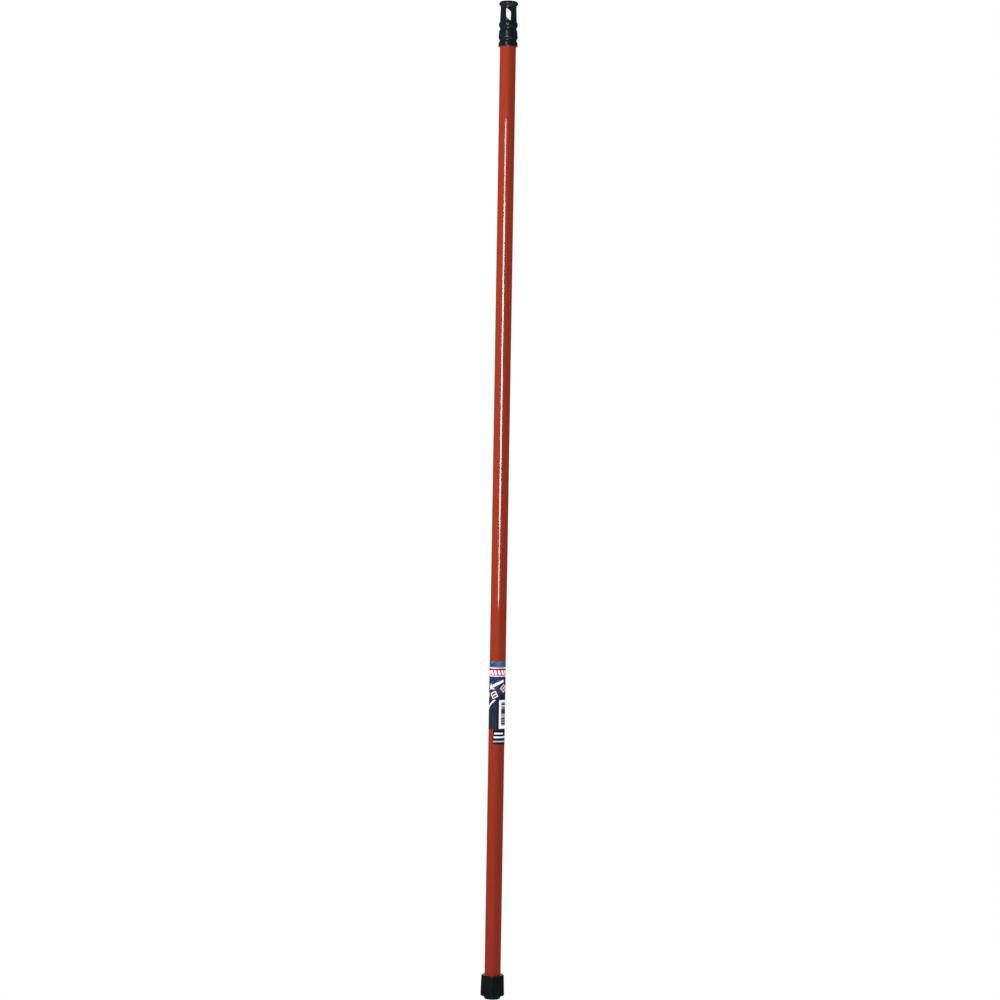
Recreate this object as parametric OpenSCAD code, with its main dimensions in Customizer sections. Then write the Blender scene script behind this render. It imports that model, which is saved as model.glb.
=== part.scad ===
// Two-section twist-lock extension pole, pushed home and hanging by its cap.
// The origin is at the middle of the tool socket's mouth, and the pole runs up along +Z.

/* [Tubes] */
// Length of the whole pole with the inner section pushed home
stowed_len = 1548; // [900:1:2000]
// Outside diameter of the outer tube
tube_od = 25; // [22:0.5:32]
// Wall thickness of the outer tube
tube_wall = 0.7; // [0.5:0.1:1]
// Wall thickness of the inner tube
inner_wall = 0.6; // [0.5:0.1:1]
// Radial gap between the two tubes
tube_gap = 0.8; // [0.7:0.1:1.1]
// Length of inner tube that stays inside at full reach
overlap = 130; // [100:1:250]
// Empty length of outer tube above the inner section
top_space = 60; // [20:1:150]
// Height of the rolled beads beside the guide ring, of which the lower one is the end stop
bead_h = 0.5; // [0.45:0.05:0.6]

/* [Hanging cap] */
// Depth to which the tube enters the cap
cap_pocket = 29.3; // [20:0.1:32]
// Width of the hanging slot
slot_w = 13.9; // [13.6:0.1:16]
// Height of the hanging slot
slot_h = 24.2; // [20:0.1:25]
// Size of the chamfers at the slot's corners
slot_cut = 5.8; // [3:0.1:6.2]
// Depth of the slot's upper end below the cap's top
slot_drop = 7.4; // [6:0.1:9]

/* [Label] */
// Height of the main label's lower edge
label_low = 418.8; // [200:0.1:600]
// Height of the main label
label_h = 104.9; // [60:0.1:160]
// Height of the text tongue below the main label
tongue_h = 23.2; // [15:0.1:40]
// Thickness of the label film
film = 0.14; // [0.1:0.01:0.3]
// Angle round the pole that the text tongue covers
tongue_arc = 158; // [60:1:300]

/* [Lock nut] */
// Height of the nut
nut_h = 32; // [31:0.1:40]
// Radius of the nut beyond the tube's, at its top
nut_top_over = 5; // [4.8:0.1:8]
// Radius of the nut beyond the tube's, at its bottom
nut_low_over = 5.9; // [5:0.1:9]
// Number of finger flutes
flutes = 8; // [5:1:10]
// Radius of each flute's cutter
flute_r = 2.4; // [1.5:0.1:3]
// Depth of each flute at the nut's bottom
flute_depth = 1.3; // [0.8:0.1:1.4]
// Height of each flute from the nut's bottom
flute_h = 25.5; // [15:0.5:28]
// Lift of the thread for each turn
pitch = 4; // [3.6:0.1:4.4]

/* [Tool socket] */
// Radius of the socket's bore
bore_r = 8; // [5:0.1:8.6]
// Depth of the socket's bore
bore_depth = 48; // [30:1:60]
// Thickness of the socket's flange
flange_h = 7; // [6.5:0.1:7.2]
// Length of flange that shows below the nut
flange_show = 5.1; // [3:0.1:5.2]

/* [Hidden] */
// Clearances: of a running fit, and of pieces fixed to each other
running = 0.06;
seat = 0.02;

tube_r = tube_od / 2;
tube_in = tube_r - tube_wall;
inner_r = tube_in - tube_gap;
inner_in = inner_r - inner_wall;

// Stack of the lock, from the nut's lower face up
nut_low = flange_show;
nut_top = nut_low + nut_h;
lip_low = nut_low + 4.2;
lip_top = lip_low + 2;
cone_low = lip_top + 1.3;
cone_top = cone_low + 5.3;
sleeve_low = cone_top;
tube_low = sleeve_low + 1.5;
collar_low = nut_top - 4.1;
sleeve_top = nut_top - 0.5;

// Radii of the lock
pass_r = inner_r + 0.4;
sleeve_r = tube_r + 1.5;
crest_r = tube_r + 2.6;
nut_minor = tube_r + 1.8;
cavity_r = tube_r + 2.95;
flange_r = tube_r;
cone_small = tube_r + 0.2;
cone_slope = 1.3 / 5.3;
squeeze_h = 5.6;
fit_gap = 0.1;

// Ends of the tubes and of what sits in them
tube_top = stowed_len - 70.5 + cap_pocket;
inner_top = tube_top - top_space - 7;
guide_h = 25;
guide_low = inner_top - overlap;
bead_w = 1.2;
plug_depth = 25;
slot_mid = stowed_len - slot_drop - slot_h / 2;
slot_round = 1.2;

// Angles round the pole, where -90 is the front
flute_turn = -100;
tongue_turn = -136;

// Thread: steps in one turn, and the steps that fit below the sleeve's collar
steps = 24;
thread_steps = floor(steps * (collar_low - sleeve_low - 4.5 - pitch / 2) / pitch);

rivet_r = 1.2;
pin_r = 1.5;
pin_z = 32;

// Outline of the cap's side from its middle outwards and down:
// radius beyond the tube's, depth below the top, radius of the corner
cap_side = [
    [-5.5, 0, 5],
    [0.4, 0.6, 0.8],
    [2.9, 3.9, 1.2],
    [-0.3, 7.9, 1.3],
    [0.5, 31.2, 2],
    [2.2, 34.9, 1.4],
    [2.2, 38, 1.4],
    [-0.1, 42.9, 1.6],
    [1.8, 46.2, 1.5],
    [2.45, 57, 1.6],
    [0.4, 61, 1.4],
    [2, 64, 1],
    [2.7, 70.5, 0.5]
];

$fn = 72;

function unit(v) = v / norm(v);

// Points of the arc that rounds corner b, between its neighbours a and c
function corner(a, b, c, r) =
    r == 0 ? [b] :
    let (
        to_a = unit(a - b),
        to_c = unit(c - b),
        half = acos(to_a * to_c) / 2,
        middle = b + unit(to_a + to_c) * r / sin(half),
        from = b + to_a * r / tan(half) - middle,
        start = atan2(from.y, from.x),
        sweep = sign(cross(b - a, c - b)) * (180 - 2 * half)
    )
    [for (i = [0:5]) middle + r * [cos(start + sweep * i / 5), sin(start + sweep * i / 5)]];

// Closed outline through points of the form [x, y, corner radius]
function rounded(p) =
    let (
        n = len(p),
        at = [for (q = p) [q.x, q.y]]
    )
    [for (i = [0:n - 1]) each corner(at[(i + n - 1) % n], at[i], at[(i + 1) % n], p[i].z)];

// Tube wall from z_low to z_top
module ring(r_out, r_in, z_low, z_top) {
    translate([0, 0, z_low])
    difference() {
        cylinder(r = r_out, h = z_top - z_low);
        translate([0, 0, -1])
        cylinder(r = r_in, h = z_top - z_low + 2);
    }
}

// Two round pins that point outwards, from one radius to another
module radial_pair(r, r_from, r_to, z) {
    for (side = [0, 180])
        rotate([0, 0, side])
        translate([r_from, 0, z])
        rotate([0, 90, 0])
        cylinder(r = r, h = r_to - r_from);
}

// One thread ridge on a right-handed helix, with a root buried in its wall
module ridge(root_r, tip_r, root_t, tip_t, z_low) {
    last = thread_steps;
    section = [[root_r, -root_t / 2], [tip_r, -tip_t / 2], [tip_r, tip_t / 2], [root_r, root_t / 2]];
    side = root_r < tip_r ? [0, 1, 2, 3] : [3, 2, 1, 0];
    points = [
        for (i = [0:last])
        for (k = side)
        let (a = 360 * i / steps)
        [section[k].x * cos(a), section[k].x * sin(a), z_low + pitch * i / steps + section[k].y]
    ];
    walls = [
        for (i = [0:last - 1])
        for (k = [0:3])
        let (m = (k + 1) % 4)
        each [
            [4 * i + k, 4 * i + m, 4 * i + 4 + m],
            [4 * i + k, 4 * i + 4 + m, 4 * i + 4 + k]
        ]
    ];
    ends = [
        [0, 2, 1],
        [0, 3, 2],
        [4 * last, 4 * last + 1, 4 * last + 2],
        [4 * last, 4 * last + 2, 4 * last + 3]
    ];
    polyhedron(points, concat(walls, ends));
}

module outer_tube() {
    color("orangered")
    difference() {
        ring(tube_r, tube_in, tube_low, tube_top);
        radial_pair(rivet_r + seat, 0, tube_r + 1, sleeve_top - 1.8);
    }
}

module hanging_cap() {
    wide = slot_w / 2;
    tall = slot_h / 2;
    // Right half of the slot's outline, from the bottom up
    half = [
        [wide - slot_cut, -tall, slot_round],
        [wide, slot_cut - tall, slot_round],
        [wide, tall - slot_cut, slot_round],
        [wide - slot_cut, tall, slot_round]
    ];
    slot_corners = concat(half, [for (p = half) [-p.x, -p.y, p.z]]);
    pocket_top = tube_top + seat;
    side = [for (p = cap_side) [tube_r + p.x, stowed_len - p.y, p.z]];
    skirt_low = side[len(side) - 1].y;
    color("dimgray")
    difference() {
        rotate_extrude()
        polygon(rounded(concat(
            [[0, pocket_top, 0], [0, stowed_len, 0]],
            side,
            [[tube_r + seat, skirt_low, 0], [tube_r + seat, pocket_top, 0]]
        )));
        translate([0, 0, slot_mid])
        rotate([90, 0, 0])
        translate([0, 0, -20])
        linear_extrude(40)
        polygon(rounded(slot_corners));
    }
}

module label_main() {
    color("mediumblue")
    ring(tube_r + seat + film, tube_r + seat, label_low, label_low + label_h);
}

module label_text() {
    color("black")
    rotate([0, 0, tongue_turn])
    rotate_extrude(angle = tongue_arc)
    translate([tube_r + seat, label_low - tongue_h])
    square([film, tongue_h]);
}

module threaded_sleeve() {
    color("gray")
    difference() {
        union() {
            rotate_extrude()
            polygon([
                [pass_r, sleeve_low],
                [sleeve_r, sleeve_low],
                [sleeve_r, collar_low],
                [crest_r, collar_low],
                [crest_r, sleeve_top],
                [tube_r + seat, sleeve_top],
                [tube_r + seat, tube_low],
                [pass_r, tube_low]
            ]);
            ridge(sleeve_r - 0.5, crest_r, 2, 1.2, sleeve_low + 3.5);
        }
        radial_pair(rivet_r + seat, 0, crest_r + 1, sleeve_top - 1.8);
    }
}

module sleeve_rivets() {
    color("silver")
    radial_pair(rivet_r, tube_in + 0.05, crest_r - 0.05, sleeve_top - 1.8);
}

module split_collet() {
    slit = 1.2;
    color("white")
    difference() {
        rotate_extrude()
        polygon([
            [inner_r + running, cone_low],
            [cone_small, cone_low],
            [cone_small + (cone_top - cone_low) * cone_slope, cone_top],
            [inner_r + running, cone_top]
        ]);
        for (i = [0:5])
            rotate([0, 0, i * 60])
            translate([0, -slit / 2, cone_low - 1])
            cube([tube_r + 4, slit, i == 0 ? 20 : cone_top - cone_low - 0.3]);
    }
}

module squeeze_ring() {
    low = lip_top + 0.05;
    top = low + squeeze_h;
    color("lightgray")
    rotate_extrude()
    polygon([
        [cone_small + (low - cone_low) * cone_slope + fit_gap, low],
        [cavity_r - 0.4, low],
        [cavity_r - 0.4, top],
        [cone_small + (top - cone_low) * cone_slope + fit_gap, top]
    ]);
}

module lock_nut() {
    r_low = tube_r + nut_low_over;
    r_top = tube_r + nut_top_over;
    axis_r = r_low - flute_depth + flute_r;
    color("darkslategray")
    union() {
        difference() {
            rotate_extrude()
            polygon(rounded([
                [flange_r + 0.4, nut_low, 0],
                [r_low, nut_low, 1],
                [r_top, nut_top, 1.5],
                [cavity_r, nut_top, 0],
                [cavity_r, lip_top, 0],
                [pass_r, lip_top, 0],
                [pass_r, lip_low, 0],
                [flange_r + 0.4, lip_low, 0]
            ]));
            for (i = [0:flutes - 1])
                rotate([0, 0, flute_turn + i * 360 / flutes])
                translate([axis_r, 0, nut_low - 1])
                cylinder(r = flute_r, h = flute_h + 1);
        }
        ridge(cavity_r + 0.5, nut_minor, 2, 1.2, sleeve_low + 3.5 + pitch / 2);
    }
}

module inner_tube() {
    beads = [guide_low - 2.4 * bead_w, guide_low + guide_h + 2.4 * bead_w];
    // One side of the wall at radius r, with its beads
    function side(r) = [
        [r, flange_h],
        for (z = beads)
        each [[r, z - bead_w], [r + bead_h, z - bead_w / 2], [r + bead_h, z + bead_w / 2], [r, z + bead_w]],
        [r, inner_top]
    ];
    inside = side(inner_in);
    last = len(inside) - 1;
    color("silver")
    difference() {
        rotate_extrude()
        polygon(concat(side(inner_r), [for (i = [0:last]) inside[last - i]]));
        radial_pair(pin_r + seat, 0, inner_r + 1, pin_z);
    }
}

module guide_ring() {
    color("white")
    ring(tube_in - 0.08, inner_r + running, guide_low, guide_low + guide_h);
}

module end_bush() {
    color("dimgray")
    rotate_extrude()
    polygon([
        [0, inner_top - plug_depth],
        [inner_in - seat, inner_top - plug_depth],
        [inner_in - seat, inner_top],
        [tube_in - 0.1, inner_top],
        [tube_in - 0.1, inner_top + 6],
        [tube_in - 1.1, inner_top + 7],
        [0, inner_top + 7]
    ]);
}

module tool_socket() {
    stem_top = bore_depth + 4;
    color("dimgray")
    difference() {
        rotate_extrude()
        polygon(rounded([
            [0, 0, 0],
            [flange_r, 0, 1.1],
            [flange_r, flange_h, 0],
            [inner_in - seat, flange_h, 0],
            [inner_in - seat, stem_top, 0],
            [0, stem_top, 0]
        ]));
        translate([0, 0, -1])
        cylinder(r = bore_r, h = bore_depth + 1);
        radial_pair(pin_r + seat, bore_r + 0.6, inner_r + 1, pin_z);
    }
}

module socket_pins() {
    color("silver")
    radial_pair(pin_r, bore_r + 0.65, inner_r - 0.02, pin_z);
}

outer_tube();
hanging_cap();
label_main();
label_text();
threaded_sleeve();
sleeve_rivets();
split_collet();
squeeze_ring();
lock_nut();
inner_tube();
guide_ring();
end_bush();
tool_socket();
socket_pins();
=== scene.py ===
import math

import bmesh
import bpy
from mathutils import Matrix, Vector


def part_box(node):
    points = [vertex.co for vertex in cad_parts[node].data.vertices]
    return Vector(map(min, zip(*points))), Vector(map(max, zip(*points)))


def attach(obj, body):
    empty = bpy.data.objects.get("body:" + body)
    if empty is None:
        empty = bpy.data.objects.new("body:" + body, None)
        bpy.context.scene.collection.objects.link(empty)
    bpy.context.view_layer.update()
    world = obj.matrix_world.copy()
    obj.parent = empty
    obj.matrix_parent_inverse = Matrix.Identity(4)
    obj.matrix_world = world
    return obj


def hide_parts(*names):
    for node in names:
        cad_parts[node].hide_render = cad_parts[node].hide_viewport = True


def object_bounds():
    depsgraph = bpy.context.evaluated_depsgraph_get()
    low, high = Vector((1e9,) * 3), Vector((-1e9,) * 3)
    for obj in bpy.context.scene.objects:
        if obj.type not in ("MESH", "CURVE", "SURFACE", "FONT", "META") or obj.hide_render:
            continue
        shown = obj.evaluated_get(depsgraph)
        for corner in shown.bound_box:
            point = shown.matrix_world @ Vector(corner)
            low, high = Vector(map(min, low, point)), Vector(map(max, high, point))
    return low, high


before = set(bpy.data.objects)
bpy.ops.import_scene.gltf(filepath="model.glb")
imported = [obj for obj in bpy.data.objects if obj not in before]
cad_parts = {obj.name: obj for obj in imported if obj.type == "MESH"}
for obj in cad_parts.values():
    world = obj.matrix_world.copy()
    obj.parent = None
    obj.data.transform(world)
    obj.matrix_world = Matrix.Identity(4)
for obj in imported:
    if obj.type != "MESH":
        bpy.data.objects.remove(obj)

mm = 0.001
frontAngle = math.radians(-108)  # the side of the pole that faces the viewer
cadLow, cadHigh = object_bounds()
scene = bpy.context.scene
print("frame loaded: the pole is", round((cadHigh.z - cadLow.z) / mm), "mm long")

# heights of the CAD nodes, in millimetres
def span(node):
    low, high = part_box(node)
    return low.z / mm, high.z / mm


# ---- shader helpers

class Wire:
    # A socket that adds Math nodes when it is used in a sum
    def __init__(self, socket):
        self.socket = socket

    @staticmethod
    def add(tree, kind, settings=None, values=None, out=0):
        new = tree.nodes.new(kind)
        for key, value in (settings or {}).items():
            if key == "stops":
                ramp = new.color_ramp
                while len(ramp.elements) < len(value):
                    ramp.elements.new(0.5)
                for element, (place, colour) in zip(ramp.elements, value):
                    element.position = place
                    element.color = colour
            else:
                setattr(new, key, value)
        for key, value in (values or {}).items():
            if isinstance(value, Wire):
                tree.links.new(value.socket, new.inputs[key])
            else:
                new.inputs[key].default_value = value
        return Wire(new.outputs[out]) if new.outputs else None

    def out(self, name):
        return Wire(self.socket.node.outputs[name])

    def math(self, operation, *args):
        settings = {"operation": operation}
        return Wire.add(self.socket.id_data, "ShaderNodeMath", settings, dict(enumerate(args)))

    def __add__(self, other):
        return self.math("ADD", self, other)

    def __sub__(self, other):
        return self.math("SUBTRACT", self, other)

    def __rsub__(self, other):
        return self.math("SUBTRACT", other, self)

    def __mul__(self, other):
        return self.math("MULTIPLY", self, other)

    def __truediv__(self, other):
        return self.math("DIVIDE", self, other)

    def __gt__(self, other):
        return self.math("GREATER_THAN", self, other)

    def __lt__(self, other):
        return self.math("LESS_THAN", self, other)

    def __and__(self, other):
        return self.math("MINIMUM", self, other)

    def __or__(self, other):
        return self.math("MAXIMUM", self, other)

    def __abs__(self):
        return self.math("ABSOLUTE", self)

    __radd__ = __add__
    __rmul__ = __mul__

    def between(self, low, high):
        return (self > low) & (self < high)


def startMaterial(name):
    material = bpy.data.materials.new(name)
    material.use_nodes = True
    material.node_tree.nodes.clear()
    return material, material.node_tree


def endMaterial(tree, values):
    shader = Wire.add(tree, "ShaderNodeBsdfPrincipled", {}, values)
    Wire.add(tree, "ShaderNodeOutputMaterial", {}, {"Surface": shader})


def objectPlace(tree, stretch=(1, 1, 1)):
    place = Wire.add(tree, "ShaderNodeTexCoord", out="Object")
    return Wire.add(tree, "ShaderNodeMapping", {}, {"Vector": place, "Scale": stretch})


def noise(tree, place, scale, detail=2, roughness=0.5):
    values = {"Vector": place, "Scale": scale, "Detail": detail, "Roughness": roughness}
    return Wire.add(tree, "ShaderNodeTexNoise", {}, values)


def mixColour(tree, factor, first, second):
    settings = {"data_type": "RGBA"}
    values = {"Factor": factor, 6: first, 7: second}
    return Wire.add(tree, "ShaderNodeMix", settings, values, out=2)


def bump(tree, height, distance, strength=1):
    values = {"Height": height, "Distance": distance, "Strength": strength}
    return Wire.add(tree, "ShaderNodeBump", {}, values)


# ---- mesh helpers

def roundCorners(points, steps=7):
    # Outline through (x, y, corner radius) points, with an arc at each corner that has a radius
    outline = []
    for i, (x, y, radius) in enumerate(points):
        here = Vector((x, y))
        if not radius:
            outline.append(here)
            continue
        before = (Vector(points[i - 1][:2]) - here).normalized()
        after = (Vector(points[(i + 1) % len(points)][:2]) - here).normalized()
        half = before.angle(after) / 2
        middle = here + (before + after).normalized() * radius / math.sin(half)
        start = here + before * radius / math.tan(half) - middle
        turn = math.copysign(math.pi - 2 * half, -before.cross(after))
        for k in range(steps + 1):
            outline.append(middle + Matrix.Rotation(turn * k / steps, 2) @ start)
    return outline


def spinOutline(outline, steps, closed=True):
    # Turns an outline of (radius, height) points, in millimetres, once round the pole
    bm = bmesh.new()
    line = [bm.verts.new((r * mm, 0, z * mm)) for r, z in outline]
    pairs = list(zip(line, line[1:]))
    if closed:
        pairs.append((line[-1], line[0]))
    edges = [bm.edges.new(pair) for pair in pairs]
    bmesh.ops.spin(bm, geom=line + edges, cent=(0, 0, 0), axis=(0, 0, 1), angle=2 * math.pi,
                   steps=steps, use_merge=True, use_duplicate=False)
    bmesh.ops.remove_doubles(bm, verts=bm.verts, dist=0.002 * mm)
    bmesh.ops.recalc_face_normals(bm, faces=bm.faces)
    return bm


def finishPiece(bm, name, material, body, nodes=(), sharp=32, even=False):
    for face in bm.faces:
        face.smooth = True
    for edge in bm.edges:
        edge.smooth = edge.calc_face_angle(0) < math.radians(sharp)
    mesh = bpy.data.meshes.new(name)
    bm.to_mesh(mesh)
    bm.free()
    piece = bpy.data.objects.new(name, mesh)
    scene.collection.objects.link(piece)
    mesh.materials.append(material)
    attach(piece, body)
    if nodes:
        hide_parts(*nodes)
    if even:
        # long faces keep their own direction right up to a small rounded edge
        piece.modifiers.new("evenShading", "WEIGHTED_NORMAL").keep_sharp = True
    return piece


def around(vertex):
    return math.atan2(vertex.co.y, vertex.co.x)


def pushOut(vertex, amount):
    # Moves a vertex away from the pole's middle line, by an amount in millimetres
    radius = math.hypot(vertex.co.x, vertex.co.y)
    factor = 1 + amount * mm / radius
    vertex.co.x *= factor
    vertex.co.y *= factor


# ---- camera, at the middle of the pole's height

camera = {"turn": -18, "distance": 3.88, "lens": 89.95, "roll": 0.955, "shift": -0.00045}


def aim(turn, distance, height):
    # A point at a turn round the pole, in degrees, where 0 is the front
    angle = math.radians(turn)
    return Vector((math.sin(angle) * distance, -math.cos(angle) * distance, height))


def makeCamera():
    data = bpy.data.cameras.new("camera")
    data.lens = camera["lens"]
    data.shift_x = camera["shift"]
    data.clip_end = 100
    eye = bpy.data.objects.new("camera", data)
    middle = (cadLow.z + cadHigh.z) / 2
    eye.location = aim(camera["turn"], camera["distance"], middle)
    look = (Vector((0, 0, middle)) - eye.location).to_track_quat("-Z", "Y").to_matrix().to_4x4()
    turned = look @ Matrix.Rotation(math.radians(camera["roll"]), 4, "Z")
    eye.rotation_euler = turned.to_euler()
    scene.collection.objects.link(eye)
    scene.camera = eye


makeCamera()


# ---- materials

def coatedTubeMaterial():
    # Orange-red plastic coating on steel
    material, tree = startMaterial("coatedTube")
    along = noise(tree, objectPlace(tree, (1, 1, 0.02)), 260, 3)
    cloud = noise(tree, objectPlace(tree, (1, 1, 0.25)), 30, 2)
    peel = noise(tree, objectPlace(tree), 900, 2)
    speck = noise(tree, objectPlace(tree), 2600, 1) > 0.79
    red = mixColour(tree, cloud * 0.7 + along * 0.3, (0.278, 0.022, 0.006, 1), (0.242, 0.025, 0.008, 1))
    red = mixColour(tree, speck * 0.25, red, (0.15, 0.012, 0.006, 1))
    shape = bump(tree, peel * 0.6 + along * 0.8, 0.03 * mm, 0.5)
    endMaterial(tree, {
        "Base Color": red,
        "Roughness": 0.45 + cloud * 0.10,
        "Specular IOR Level": 0.08,
        "Coat Weight": 1,
        "Coat Roughness": 0.035,
        "Normal": shape,
    })
    return material


def blackPlasticMaterial(name, roughness, shine):
    # Satin moulded black with a fine grain
    material, tree = startMaterial(name)
    grain = noise(tree, objectPlace(tree), 2400, 2, 0.6)
    flow = noise(tree, objectPlace(tree, (1, 1, 0.35)), 120, 2)
    black = mixColour(tree, flow, (0.0037, 0.0075, 0.0086, 1), (0.0054, 0.0098, 0.0110, 1))
    endMaterial(tree, {
        "Base Color": black,
        "Roughness": roughness - 0.02 + flow * 0.04,
        "Specular IOR Level": shine,
        "Normal": bump(tree, grain, 0.008 * mm, 0.3),
    })
    return material


def zincMaterial():
    # Bright zinc plating with drawing lines along the tube
    material, tree = startMaterial("zincPlate")
    lines = noise(tree, objectPlace(tree, (1, 1, 0.004)), 1500, 3)
    cloud = noise(tree, objectPlace(tree, (1, 1, 0.3)), 45, 3)
    grey = mixColour(tree, cloud, (0.50, 0.51, 0.53, 1), (0.66, 0.66, 0.65, 1))
    endMaterial(tree, {
        "Base Color": grey,
        "Metallic": 1,
        "Roughness": 0.22 + cloud * 0.10 + lines * 0.06,
        "Normal": bump(tree, lines, 0.01 * mm, 0.6),
    })
    return material


def nylonMaterial():
    # Natural nylon, slightly yellow
    material, tree = startMaterial("nylon")
    cloud = noise(tree, objectPlace(tree), 300, 3)
    cream = mixColour(tree, cloud, (0.66, 0.64, 0.56, 1), (0.76, 0.75, 0.70, 1))
    endMaterial(tree, {
        "Base Color": cream,
        "Roughness": 0.40 + cloud * 0.12,
        "Normal": bump(tree, cloud, 0.02 * mm, 0.5),
    })
    return material


def pinMaterial():
    # Plain steel of pins and rivets
    material, tree = startMaterial("pinSteel")
    scratch = noise(tree, objectPlace(tree, (1, 1, 0.2)), 3000, 2)
    steel = mixColour(tree, scratch, (0.38, 0.38, 0.39, 1), (0.52, 0.52, 0.52, 1))
    endMaterial(tree, {
        "Base Color": steel,
        "Metallic": 1,
        "Roughness": 0.30 + scratch * 0.15,
        "Normal": bump(tree, scratch, 0.01 * mm, 0.5),
    })
    return material


art = {
    "radius": 12.66,
    "blue": (0.010, 0.068, 0.215, 1),
    "paleBlue": (0.085, 0.230, 0.450, 1),
    "white": (0.95, 0.95, 0.97, 1),
    "red": (0.390, 0.010, 0.016, 1),
    "navy": (0.005, 0.008, 0.048, 1),
    "paleNavy": (0.060, 0.078, 0.260, 1),
    "dark": (0.008, 0.010, 0.034, 1),
    "slate": (0.012, 0.023, 0.032, 1),
    "edge": (0.002, 0.002, 0.018, 1),
    "ink": (0.018, 0.012, 0.080, 1),
}


def labelPlace(tree, low):
    # Millimetres round the tube from the front, and millimetres up from the label's lower edge
    place = Wire.add(tree, "ShaderNodeTexCoord", out="Object")
    x = Wire.add(tree, "ShaderNodeSeparateXYZ", {}, {"Vector": place})
    turn = x.math("ARCTAN2", x.out("Y"), x) - frontAngle
    turn = turn.math("WRAP", turn, math.pi, -math.pi)
    return turn * art["radius"], x.out("Z") / mm - low


def tilted(u, v, middle, degrees):
    # The same place measured along and across a line through middle
    cos, sin = math.cos(math.radians(degrees)), math.sin(math.radians(degrees))
    du, dv = u - middle[0], v - middle[1]
    return du * cos + dv * sin, dv * cos - du * sin


def boxMask(u, v, middle, size, degrees=0):
    along, across = tilted(u, v, middle, degrees)
    return (abs(along) < size[0] / 2) & (abs(across) < size[1] / 2)


def streaks(tree, u, v, degrees, spacing, low, high):
    # Soft brush strokes that lean by an angle
    along, across = tilted(u, v, (0, 0), degrees)
    place = Wire.add(tree, "ShaderNodeCombineXYZ", {}, {"X": along * 0.05, "Y": across / spacing})
    return soften(tree, noise(tree, place, 1, 3, 0.55), low, high)


def soften(tree, value, low, high):
    # 0 at low and 1 at high
    return Wire.add(tree, "ShaderNodeMapRange", {}, {"Value": value, "From Min": low, "From Max": high})


def rowNoise(tree, v, rows):
    # One random value for each row of the print
    row = Wire.add(tree, "ShaderNodeCombineXYZ", {}, {"Y": v.math("FLOOR", v * rows)})
    return Wire.add(tree, "ShaderNodeTexWhiteNoise", {"noise_dimensions": "3D"}, {"Vector": row})


def filmFinish(tree, colour):
    # Printed film: a dull print under a thin clear coat
    fine = noise(tree, objectPlace(tree), 700, 2)
    endMaterial(tree, {
        "Base Color": colour,
        "Roughness": 0.45 + fine * 0.10,
        "Specular IOR Level": 0.1,
        "Coat Weight": 0.4,
        "Coat Roughness": 0.05,
        "Normal": bump(tree, fine, 0.01 * mm, 0.4),
    })


def labelMaterial(low, high):
    # Printed film with bands, strokes, an arrow, plain squares and bars, and no lettering
    material, tree = startMaterial("labelPrint")
    u, v = labelPlace(tree, low)
    tall = high - low

    def paint(base, mask, colour):
        return mixColour(tree, mask, base, colour)

    # lower field: navy with leaning strokes, darker to the bottom
    colour = paint(art["navy"], streaks(tree, u, v, 38, 2.2, 0.47, 0.58) * 0.8, art["paleNavy"])
    colour = paint(colour, soften(tree, u * 0.6 - v, -56, -46) * 0.75, art["dark"])
    colour = paint(colour, soften(tree, v, 34, 27) * 0.6, art["dark"])
    colour = paint(colour, soften(tree, u + v * 0.2, 0.5, -2.5) * (v < 31), art["slate"])
    colour = paint(colour, soften(tree, u, -1, 0.2) * (u < 4) * (v < 46.5), art["edge"])

    # curved strokes at the left edge
    along, across = tilted(u, v, (-11.5, 38.5), 46)
    colour = paint(colour, (abs(across + along * along * 0.01) < 1.15) & (abs(along) < 11), art["white"])
    colour = paint(colour, boxMask(u, v, (-17.5, 50), (13, 2), 62), art["white"])

    # arrow that points down to the left
    shaft = boxMask(u, v, (1.8, 71.3), (19.5, 3.9), 26)
    along, across = tilted(u, v, (-14.4, 61.6), 38)
    head = (along > 0) & (along < 8.2) & (abs(across) < along * 0.70)
    colour = paint(colour, shaft | head, art["white"])

    # red squares with white borders, each with a plain bar along one side
    for middle, lean in (((-4.8, 53.2), 27), ((10.8, 63.4), 42), ((24.5, 60), -8)):
        colour = paint(colour, boxMask(u, v, middle, (9.6, 9.6), lean), art["white"])
        colour = paint(colour, boxMask(u, v, middle, (7.2, 7.2), lean), art["red"])
        colour = paint(colour, boxMask(u, v, middle, (4.6, 1.4), lean), art["white"])

    # white box with bars of uneven thickness
    colour = paint(colour, boxMask(u, v, (18.5, 23.1), (30.6, 44.4)), art["white"])
    dense = rowNoise(tree, v, 0.45) > 0.66
    bars = (rowNoise(tree, v, 3.1) > 0.38 - 0.3 * dense) & boxMask(u, v, (19.6, 24.4), (25.4, 37))
    colour = paint(colour, bars, art["ink"])

    # upper bands
    colour = paint(colour, v > tall - 23.1, art["white"])
    colour = paint(colour, v.between(tall - 21.8, tall - 10.5), art["red"])
    lean = u + v * 0.3
    step = lean.math("WRAP", lean, 2.9, -2.9)
    colour = paint(colour, (abs(step) < 1.8) & v.between(tall - 20.3, tall - 13.6), art["white"])
    strokes = streaks(tree, u, v, 24, 2.2, 0.48, 0.60)
    colour = paint(colour, v > tall - 9.3, art["blue"])
    colour = paint(colour, (v > tall - 9.3) & (strokes * 0.75), art["paleBlue"])
    filmFinish(tree, colour)
    return material


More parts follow.
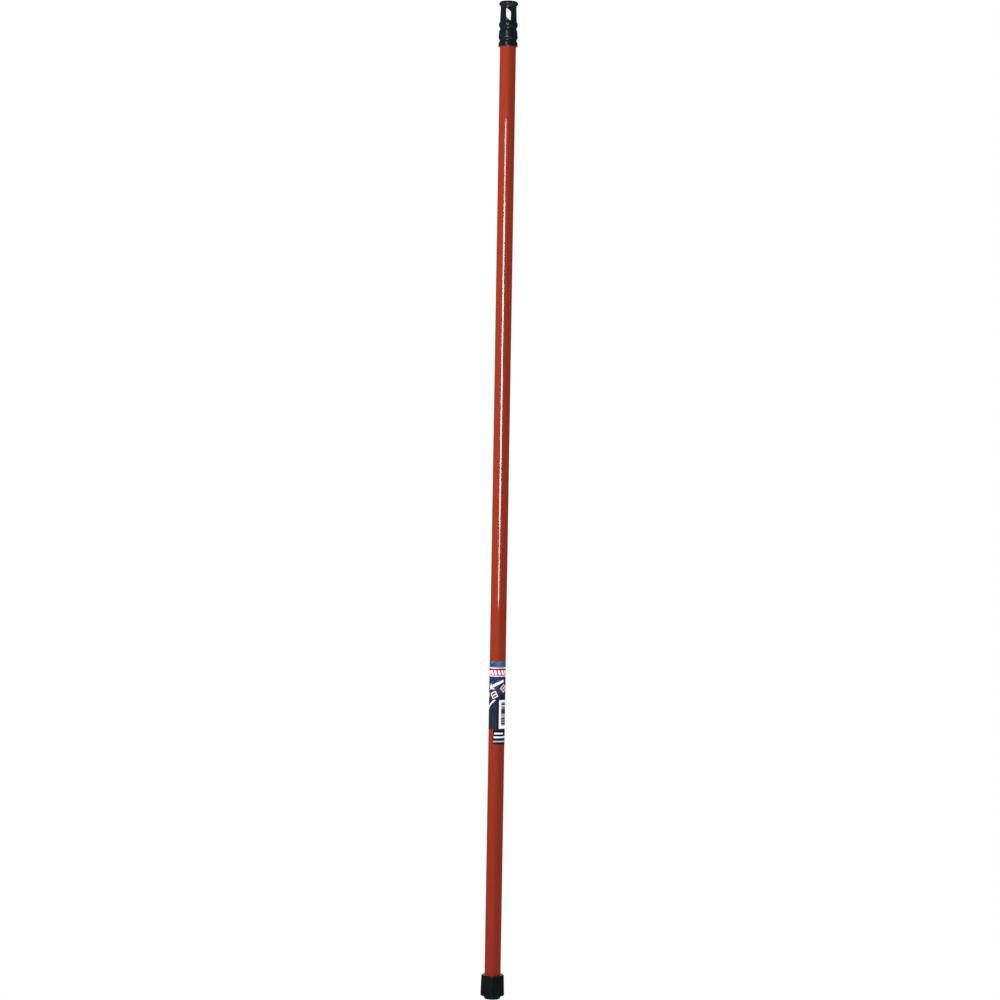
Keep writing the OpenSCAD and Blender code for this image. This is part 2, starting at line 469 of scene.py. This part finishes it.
def tongueMaterial(low):
    # Black film with three white bars
    material, tree = startMaterial("tonguePrint")
    u, v = labelPlace(tree, low)
    ragged = noise(tree, Wire.add(tree, "ShaderNodeCombineXYZ", {}, {"X": u, "Y": v * 0.3}), 1.4, 2)
    colour = (0.006, 0.006, 0.011, 1)
    white, violet = (0.92, 0.90, 0.96, 1), (0.50, 0.46, 0.66, 1)
    bars = [(16.8, 2.7, -4, 11, white), (11, 2.7, -4.6, 20, white), (4.5, 2.3, -5, 17, violet)]
    for height, tall, start, end, paper in bars:
        mask = boxMask(u, v, ((start + end) / 2, height), (end - start, tall))
        colour = mixColour(tree, mask * (0.8 + ragged * 0.4), colour, paper)
    filmFinish(tree, colour)
    return material


coat = coatedTubeMaterial()
capBlack = blackPlasticMaterial("capBlack", 0.2, 0.5)
lockBlack = blackPlasticMaterial("lockBlack", 0.25, 0.1)
zinc = zincMaterial()
nylon = nylonMaterial()
pinSteel = pinMaterial()
print("materials made")


# ---- outer tube, with the lap of its coating as a fine raised line

tube = {
    "radius": 12.5,
    "wall": 0.7,
    "steps": 144,
    "lapAngle": 62,
    "lapWidth": 0.9,
    "lapHeight": 0.05,
    "lapDepth": 0.3,
    "lapRound": 0.15,
}


def makeOuterTube():
    low, high = span("outer_tube")
    inside = tube["radius"] - tube["wall"]
    outline = roundCorners([
        (inside, low, 0.2),
        (tube["radius"], low, 0.3),
        (tube["radius"], high, 0.3),
        (inside, high, 0.2),
    ], 4)
    return finishPiece(spinOutline(outline, tube["steps"]), "outerTube", coat, "outer",
                       ["outer_tube"], even=True)


def makeCoatLap():
    low, high = span("outer_tube")
    half = tube["lapWidth"] / 2
    bm = bmesh.new()
    bmesh.ops.create_cube(bm, size=1)
    size = Vector((tube["lapDepth"], 2 * half, high - low - 1)) * mm
    bmesh.ops.scale(bm, verts=bm.verts, vec=size)
    across = tube["radius"] + tube["lapHeight"] - tube["lapDepth"] / 2
    middle = Vector((across, 0, (low + high) / 2)) * mm
    bmesh.ops.translate(bm, verts=bm.verts, vec=middle)
    outer = [e for e in bm.edges if all(v.co.x > middle.x for v in e.verts) and e.calc_length() > 0.1]
    bmesh.ops.bevel(bm, geom=outer, offset=tube["lapRound"] * mm, segments=3, profile=0.5,
                    affect="EDGES", material=-1)
    turn = Matrix.Rotation(math.radians(tube["lapAngle"]), 4, "Z")
    bmesh.ops.transform(bm, matrix=turn, verts=bm.verts)
    return finishPiece(bm, "coatLap", coat, "outer", even=True)


makeOuterTube()
makeCoatLap()
print("outer tube made")


# ---- hanging cap

cap = {
    "steps": 176,
    # outline from the middle of the top, outwards and down: radius beyond the tube's, depth, corner
    "side": [
        (-5.5, 0, 5), (0.4, 0.6, 0.8), (2.9, 3.9, 1.2), (-0.3, 7.9, 1.3), (0.5, 31.2, 2), (2.2, 34.9, 1.4),
        (2.2, 38, 1.4), (-0.1, 42.9, 1.6), (1.8, 46.2, 1.5), (2.45, 57, 1.6), (0.4, 61, 1.4),
        (2, 64, 1), (2.7, 70.5, 0.5),
    ],
    "slotWidth": 13.9,
    "slotHeight": 24.2,
    "slotDrop": 7.4,
    "slotCut": 5.8,
    "slotRound": 1.2,
    "slotEdge": 0.4,
    "slotReach": 16,
    "cornerSteps": 6,
    "straightSteps": 10,
    "cutGrowth": 0.6,
    "flare": 1.0,
    "flareRise": 0.58,
    "neck": {"over": -0.3, "growth": 0.8, "drop": 7.9, "height": 23.3},
    "neckRows": 30,
    "pocket": 29.3,
    "parting": 0.06,
}


def slotCutter(top):
    # Slot with chamfered corners that runs through the cap along Y and opens out at the cap's surface
    half, tall = cap["slotWidth"] / 2, cap["slotHeight"] / 2
    middle = top - cap["slotDrop"] - tall
    edge = cap["slotEdge"]

    def slotLine(wider):
        # Outline of the slot, made wider all round
        cut, round_ = cap["slotCut"] + wider * cap["cutGrowth"], cap["slotRound"] + wider
        x, z = half + wider, tall + wider
        right = [(x - cut, -z, round_), (x, cut - z, round_), (x, z - cut, round_), (x - cut, z, round_)]
        corners = roundCorners(right + [(-x, -z, r) for x, z, r in right], cap["cornerSteps"])
        line = []
        for i, corner in enumerate(corners):
            line.append(corner)
            if i % (cap["cornerSteps"] + 1) == cap["cornerSteps"]:
                # points along the straight part, so that it follows the round surface
                after = corners[(i + 1) % len(corners)]
                steps = cap["straightSteps"]
                line += [corner.lerp(after, k / steps) for k in range(1, steps)]
        return line

    def ring(wider, depth, side):
        # A loop at a depth below the cap's surface, or clear of the cap where the depth is None
        verts = []
        neck = cap["neck"]
        for x, z in slotLine(wider):
            drop = cap["slotDrop"] + tall - z
            share = neck["growth"] * (drop - neck["drop"]) / neck["height"]
            radius = tube["radius"] + neck["over"] + share
            y = cap["slotReach"] if depth is None else math.sqrt(radius ** 2 - x ** 2) - depth
            verts.append(bm.verts.new((x * mm, y * side * mm, (z + middle) * mm)))
        return [bm.edges.new(pair) for pair in zip(verts, verts[1:] + verts[:1])]

    steps = [(0, edge + 1)]
    for k in range(5):
        turn = math.radians(60) * k / 4
        steps.append((edge * (1 - math.cos(turn)), edge * (1 - math.sin(turn))))
    last = steps[-1]
    flared = last[0] + cap["flare"]
    steps += [(flared, last[1] - cap["flareRise"]), (flared, None)]
    bm = bmesh.new()
    loops = [ring(*step, -1) for step in reversed(steps)] + [ring(*step, 1) for step in steps]
    for pair in zip(loops, loops[1:]):
        bmesh.ops.bridge_loops(bm, edges=pair[0] + pair[1])
    bmesh.ops.edgeloop_fill(bm, edges=loops[0])
    bmesh.ops.edgeloop_fill(bm, edges=loops[-1])
    bmesh.ops.recalc_face_normals(bm, faces=bm.faces)
    mesh = bpy.data.meshes.new("slotCutter")
    bm.to_mesh(mesh)
    bm.free()
    cutter = bpy.data.objects.new("slotCutter", mesh)
    scene.collection.objects.link(cutter)
    return cutter


def cutWith(bm, cutter):
    # The bmesh less the cutter, through a Boolean modifier
    mesh = bpy.data.meshes.new("uncut")
    bm.to_mesh(mesh)
    bm.free()
    whole = bpy.data.objects.new("uncut", mesh)
    scene.collection.objects.link(whole)
    change = whole.modifiers.new("cut", "BOOLEAN")
    change.object = cutter
    change.operation = "DIFFERENCE"
    change.solver = "EXACT"
    done = whole.evaluated_get(bpy.context.evaluated_depsgraph_get())
    result = bmesh.new()
    result.from_mesh(done.to_mesh())
    for gone in (whole, cutter):
        bpy.data.objects.remove(gone)
    return result


def makeHangingCap():
    low, top = span("hanging_cap")
    side = [(tube["radius"] + over, top - depth, corner) for over, depth, corner in cap["side"]]
    pocket = low + cap["pocket"]
    outline = roundCorners([(0, top, 0), *side, (tube["radius"], low, 0.3), (tube["radius"], pocket, 0),
                            (0, pocket, 0)])
    bm = spinOutline(outline, cap["steps"], closed=False)
    # rows up the neck keep the faces near the slot short
    rings = [e for e in bm.edges if abs(e.verts[0].co.z - e.verts[1].co.z) > 18 * mm
             and math.hypot(e.verts[0].co.x, e.verts[0].co.y) < 13.5 * mm
             and e.verts[0].co.z > (top - 34) * mm]
    bmesh.ops.subdivide_edges(bm, edges=rings, cuts=cap["neckRows"], use_grid_fill=True)
    # parting line of the two mould halves
    for vertex in bm.verts:
        onLine = abs(vertex.co.y) < 0.05 * mm and abs(vertex.co.x) > tube["radius"] * mm
        if onLine and vertex.co.z < (top - 1.5) * mm:
            pushOut(vertex, cap["parting"])
    bm = cutWith(bm, slotCutter(top))
    return finishPiece(bm, "hangingCap", capBlack, "outer", ["hanging_cap"], sharp=20, even=True)


makeHangingCap()
print("cap made")


# ---- labels

label = {"film": 0.14, "gap": 0.02, "lap": 3, "corner": 3, "tongueFrom": -27, "tongueTo": 130, "cut": 0.8}


def wrapSheet(width, low, high, start, lap=0, corner=0, corners=()):
    # A thin sheet laid round the tube from a start angle, in radians; it rises over its own end by a lap
    bm = bmesh.new()
    flat = [bm.verts.new((x * mm, 0, z * mm)) for x, z in ((0, low), (width, low), (width, high), (0, high))]
    bm.faces.new(flat)
    if corners:
        bmesh.ops.bevel(bm, geom=[flat[i] for i in corners], offset=corner * mm, segments=8, profile=0.5,
                        affect="VERTICES", material=-1)
    for i in range(1, int(width / label["cut"])):
        bmesh.ops.bisect_plane(bm, geom=bm.verts[:] + bm.edges[:] + bm.faces[:],
                               plane_co=(i * label["cut"] * mm, 0, 0), plane_no=(1, 0, 0))
    under = tube["radius"] + label["gap"]
    bottom = bm.faces[:]
    grown = bmesh.ops.extrude_face_region(bm, geom=bottom)["geom"]
    upper = {g for g in grown if isinstance(g, bmesh.types.BMVert)}
    for vertex in bm.verts:
        x = vertex.co.x / mm
        rise = min(max((x - (width - 1.6 * lap)) / (0.5 * lap), 0), 1) if lap else 0
        radius = under + rise * label["film"] + (label["film"] if vertex in upper else 0)
        angle = start + x / under
        vertex.co.x = math.cos(angle) * radius * mm
        vertex.co.y = math.sin(angle) * radius * mm
    bmesh.ops.recalc_face_normals(bm, faces=bm.faces)
    return bm


def makeLabels():
    low, high = span("label_main")
    round_ = 2 * math.pi * (tube["radius"] + label["gap"])
    start = frontAngle + math.pi
    film = wrapSheet(round_ + label["lap"], low, high, start, lap=label["lap"])
    finishPiece(film, "labelMain", labelMaterial(low, high), "outer", ["label_main"])
    low, high = span("label_text")
    radius = tube["radius"] + label["gap"]
    width = math.radians(label["tongueTo"] - label["tongueFrom"]) * radius
    start = frontAngle + math.radians(label["tongueFrom"])
    film = wrapSheet(width, low, high, start, corner=label["corner"], corners=(0, 1, 2, 3))
    finishPiece(film, "labelTongue", tongueMaterial(low), "outer", ["label_text"])


makeLabels()
print("labels made")


# ---- lock nut

nut = {
    "steps": 360,
    "rows": 56,
    "lowRadius": 18.4,
    "topRadius": 17.5,
    "cavity": 15.45,
    "counterbore": 12.9,
    "lip": 11.4,
    "flutes": 8,
    "fluteTurn": -100,
    "fluteRadius": 2.4,
    "fluteDepth": 1.35,
    "fadeFrom": 15,
    "fadeTo": 29,
    "parting": 0.05,
    "lipHeight": 4.2,
    "lipThickness": 2,
    "rowsFrom": 1.4,
    "rowsShort": 3.4,
    "skin": 0.6,
    "blend": 0.9,
}


def fluteCut(angle, height, radius):
    # Depth of the flute at a place on the nut's side
    pitch = 2 * math.pi / nut["flutes"]
    off = (angle - math.radians(nut["fluteTurn"]) + pitch / 2) % pitch - pitch / 2
    across = off * radius
    fade = min(max((height - nut["fadeFrom"]) / (nut["fadeTo"] - nut["fadeFrom"]), 0), 1)
    depth = nut["fluteDepth"] * (1 - fade * fade * (3 - 2 * fade))
    if abs(across) >= nut["fluteRadius"]:
        return 0
    return max(math.sqrt(nut["fluteRadius"] ** 2 - across ** 2) - nut["fluteRadius"] + depth, 0)


def makeLockNut():
    low, high = span("lock_nut")
    lip = low + nut["lipHeight"]
    floor = lip + nut["lipThickness"]
    wall = []
    for i in range(1, nut["rows"]):
        share = i / nut["rows"]
        radius = nut["lowRadius"] + (nut["topRadius"] - nut["lowRadius"]) * share
        wall.append((radius, low + nut["rowsFrom"] + (high - low - nut["rowsShort"]) * share, 0))
    outline = roundCorners([
        (nut["counterbore"], low, 0.3),
        (nut["lowRadius"], low, 1.0),
        *wall,
        (nut["topRadius"], high, 1.5),
        (nut["cavity"], high, 0.3),
        (nut["cavity"], floor, 0),
        (nut["lip"], floor, 0.2),
        (nut["lip"], lip, 0.2),
        (nut["counterbore"], lip, 0),
    ])
    bm = spinOutline(outline, nut["steps"])
    for vertex in bm.verts:
        radius = math.hypot(vertex.co.x, vertex.co.y) / mm
        height = vertex.co.z / mm
        if radius > nut["cavity"] + nut["skin"]:
            share = min((radius - nut["cavity"] - nut["skin"]) / nut["blend"], 1)
            cut = fluteCut(around(vertex), height, radius) * share
            line = nut["parting"] if abs(vertex.co.y) < 0.05 * mm and cut == 0 else 0
            pushOut(vertex, line - cut)
    return finishPiece(bm, "lockNut", lockBlack, "nut", ["lock_nut"], sharp=40)


makeLockNut()
print("nut made")


# ---- inner section

inner = {
    "steps": 128,
    "radius": 11.0,
    "wall": 0.6,
    "beadHeight": 0.5,
    "beadWidth": 1.2,
    "flange": 12.5,
    "flangeHeight": 7,
    "bore": 8,
    "boreDepth": 48,
}


def makeInnerTube():
    low, high = span("inner_tube")
    ringLow, ringHigh = span("guide_ring")
    outside = inner["radius"]
    inside = outside - inner["wall"]
    gap = 2.4 * inner["beadWidth"]
    beads = [ringLow - gap, ringHigh + gap]

    def wall(radius):
        half = inner["beadWidth"]
        line = [(radius, low, 0)]
        for z in beads:
            crown = radius + inner["beadHeight"]
            line += [(radius, z - half, 0.4), (crown, z - half / 2, 0.4), (crown, z + half / 2, 0.4),
                     (radius, z + half, 0.4)]
        return line + [(radius, high, 0)]

    outline = roundCorners(wall(outside) + wall(inside)[::-1], 4)
    return finishPiece(spinOutline(outline, inner["steps"]), "innerTube", zinc, "inner",
                       ["inner_tube"], even=True)


def makeToolSocket():
    low, high = span("tool_socket")
    stem = inner["radius"] - inner["wall"] - 0.02
    flangeTop = low + inner["flangeHeight"]
    outline = roundCorners([
        (inner["bore"], low, 0.5),
        (inner["flange"], low, 1.1),
        (inner["flange"], flangeTop, 0.3),
        (stem, flangeTop, 0),
        (stem, high, 0.3),
        (0, high, 0),
        (0, low + inner["boreDepth"], 0),
        (inner["bore"], low + inner["boreDepth"], 0),
    ])
    middle = next(i for i, p in enumerate(outline) if p.x == 0) + 1
    outline = outline[middle:] + outline[:middle]
    bm = spinOutline(outline, inner["steps"], closed=False)
    return finishPiece(bm, "toolSocket", capBlack, "inner", ["tool_socket"], even=True)


makeInnerTube()
makeToolSocket()
print("inner section made")


# ---- CAD nodes that stay

kept = {
    "threaded_sleeve": lockBlack,
    "sleeve_rivets": pinSteel,
    "split_collet": nylon,
    "squeeze_ring": nylon,
    "guide_ring": nylon,
    "end_bush": capBlack,
    "socket_pins": pinSteel,
}
for node, material in kept.items():
    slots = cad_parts[node].material_slots
    for one in slots:
        one.material = material
print("CAD nodes painted")


# ---- floor, lights and world

stageSize = {"floorDrop": 1.46, "floorRadius": 6.4, "fadeFrom": 2.5}


def floorMaterial():
    # Pale floor that fades out before its edge, and looks lighter than it shines back
    material, tree = startMaterial("paleFloor")
    place = Wire.add(tree, "ShaderNodeTexCoord", out="Object")
    far = Wire.add(tree, "ShaderNodeVectorMath", {"operation": "LENGTH"}, {0: place}, out="Value")
    fade = Wire.add(tree, "ShaderNodeMapRange", {"interpolation_type": "SMOOTHSTEP"}, {
        "Value": far, "From Min": stageSize["fadeFrom"], "From Max": stageSize["floorRadius"] * 0.97})
    fine = noise(tree, place, 40, 3)
    pale = mixColour(tree, fine, (0.84, 0.84, 0.84, 1), (0.88, 0.88, 0.88, 1))
    shader = Wire.add(tree, "ShaderNodeBsdfPrincipled", {}, {"Base Color": pale, "Roughness": 0.9})
    bright = Wire.add(tree, "ShaderNodeEmission", {}, {"Color": (0.95, 0.95, 0.95, 1), "Strength": 1.0})
    ray = Wire.add(tree, "ShaderNodeLightPath")
    seen = ray.out("Is Camera Ray") * 0.7
    lifted = Wire.add(tree, "ShaderNodeMixShader", {}, {0: seen, 1: shader, 2: bright})
    clear = Wire.add(tree, "ShaderNodeBsdfTransparent")
    mixed = Wire.add(tree, "ShaderNodeMixShader", {}, {0: fade, 1: lifted, 2: clear})
    Wire.add(tree, "ShaderNodeOutputMaterial", {}, {"Surface": mixed})
    return material


def makeFloor():
    bm = bmesh.new()
    bmesh.ops.create_circle(bm, cap_ends=True, radius=stageSize["floorRadius"], segments=96)
    bmesh.ops.translate(bm, verts=bm.verts, vec=(0, 0, -stageSize["floorDrop"]))
    mesh = bpy.data.meshes.new("floor")
    bm.to_mesh(mesh)
    bm.free()
    mesh.materials.append(floorMaterial())
    floor = bpy.data.objects.new("floor", mesh)
    scene.collection.objects.link(floor)


def makeLight(name, lamp):
    # Upright panels, one above another from the low end to the high end; they shine or fill, not both
    (lowTurn, lowHeight), (highTurn, highHeight) = lamp["low"], lamp["high"]
    for k in range(lamp["panels"]):
        share = (k + 0.5) / lamp["panels"]
        turn = lowTurn + (highTurn - lowTurn) * share
        data = bpy.data.lights.new(name, "AREA")
        data.shape = "RECTANGLE"
        data.size = lamp["width"]
        data.size_y = (highHeight - lowHeight) / lamp["panels"]
        # the end panels are weaker, so that a reflection fades out
        data.energy = lamp["power"] / lamp["panels"] * min(1, 0.35 + 2.2 * min(share, 1 - share))
        data.color = lamp["colour"]
        light = bpy.data.objects.new(name, data)
        light.location = aim(turn, lamp["distance"], lowHeight + (highHeight - lowHeight) * share)
        light.rotation_euler = aim(turn, -1, 0).to_track_quat("-Z", "Y").to_euler()
        light.visible_camera = False
        light.visible_glossy = lamp["shines"]
        light.visible_diffuse = not lamp["shines"]
        scene.collection.objects.link(light)


def makeWorld():
    # White behind the pole, soft grey for its shading, and dark for its reflections
    world = bpy.data.worlds.new("studio")
    world.use_nodes = True
    tree = world.node_tree
    tree.nodes.clear()
    seen = Wire.add(tree, "ShaderNodeBackground", {}, {"Color": (1, 1, 1, 1), "Strength": 1.0})
    felt = Wire.add(tree, "ShaderNodeBackground", {}, {"Color": (1, 1, 1, 1), "Strength": room["fill"]})
    glint = Wire.add(tree, "ShaderNodeBackground", {}, {"Color": (0.9, 1, 1, 1), "Strength": room["glint"]})
    ray = Wire.add(tree, "ShaderNodeLightPath")
    softly = Wire.add(tree, "ShaderNodeMixShader", {}, {0: ray.out("Is Glossy Ray"), 1: felt, 2: glint})
    mixed = Wire.add(tree, "ShaderNodeMixShader", {}, {0: ray.out("Is Camera Ray"), 1: softly, 2: seen})
    Wire.add(tree, "ShaderNodeOutputWorld", {}, {"Surface": mixed})
    scene.world = world


room = {"fill": 0.39, "glint": 0.06}
lamps = {
    "shineFront": {
        "low": (-21, 0.43), "high": (-33, 2.03), "distance": 4.4, "width": 1.25, "panels": 6,
        "power": 200, "colour": (1, 0.96, 1), "shines": True},
    "shineFrontTop": {
        "low": (-34, 2.3), "high": (-42, 4.2), "distance": 4.4, "width": 1, "panels": 3,
        "power": 26, "colour": (0.84, 0.84, 1), "shines": True},
    "shineBack": {
        "low": (165, 0.3), "high": (165, 2.1), "distance": 4.4, "width": 1.6, "panels": 1,
        "power": 8, "colour": (1, 1, 1), "shines": True},
    "fillLeft": {
        "low": (-68, 0.2), "high": (-62, 2.5), "distance": 1.7, "width": 1.2, "panels": 1,
        "power": 54, "colour": (1, 1, 1), "shines": False},
    "fillRight": {
        "low": (75, -0.2), "high": (75, 2.4), "distance": 2.4, "width": 1.2, "panels": 1,
        "power": 50, "colour": (1, 1, 1), "shines": False},
    "fillBack": {
        "low": (150, 1.2), "high": (150, 2.2), "distance": 2.6, "width": 1.2, "panels": 1,
        "power": 24, "colour": (1, 1, 1), "shines": False},
}


makeFloor()
for name, lamp in lamps.items():
    makeLight(name, lamp)
makeWorld()
scene.view_settings.view_transform = "Standard"
print("stage made")
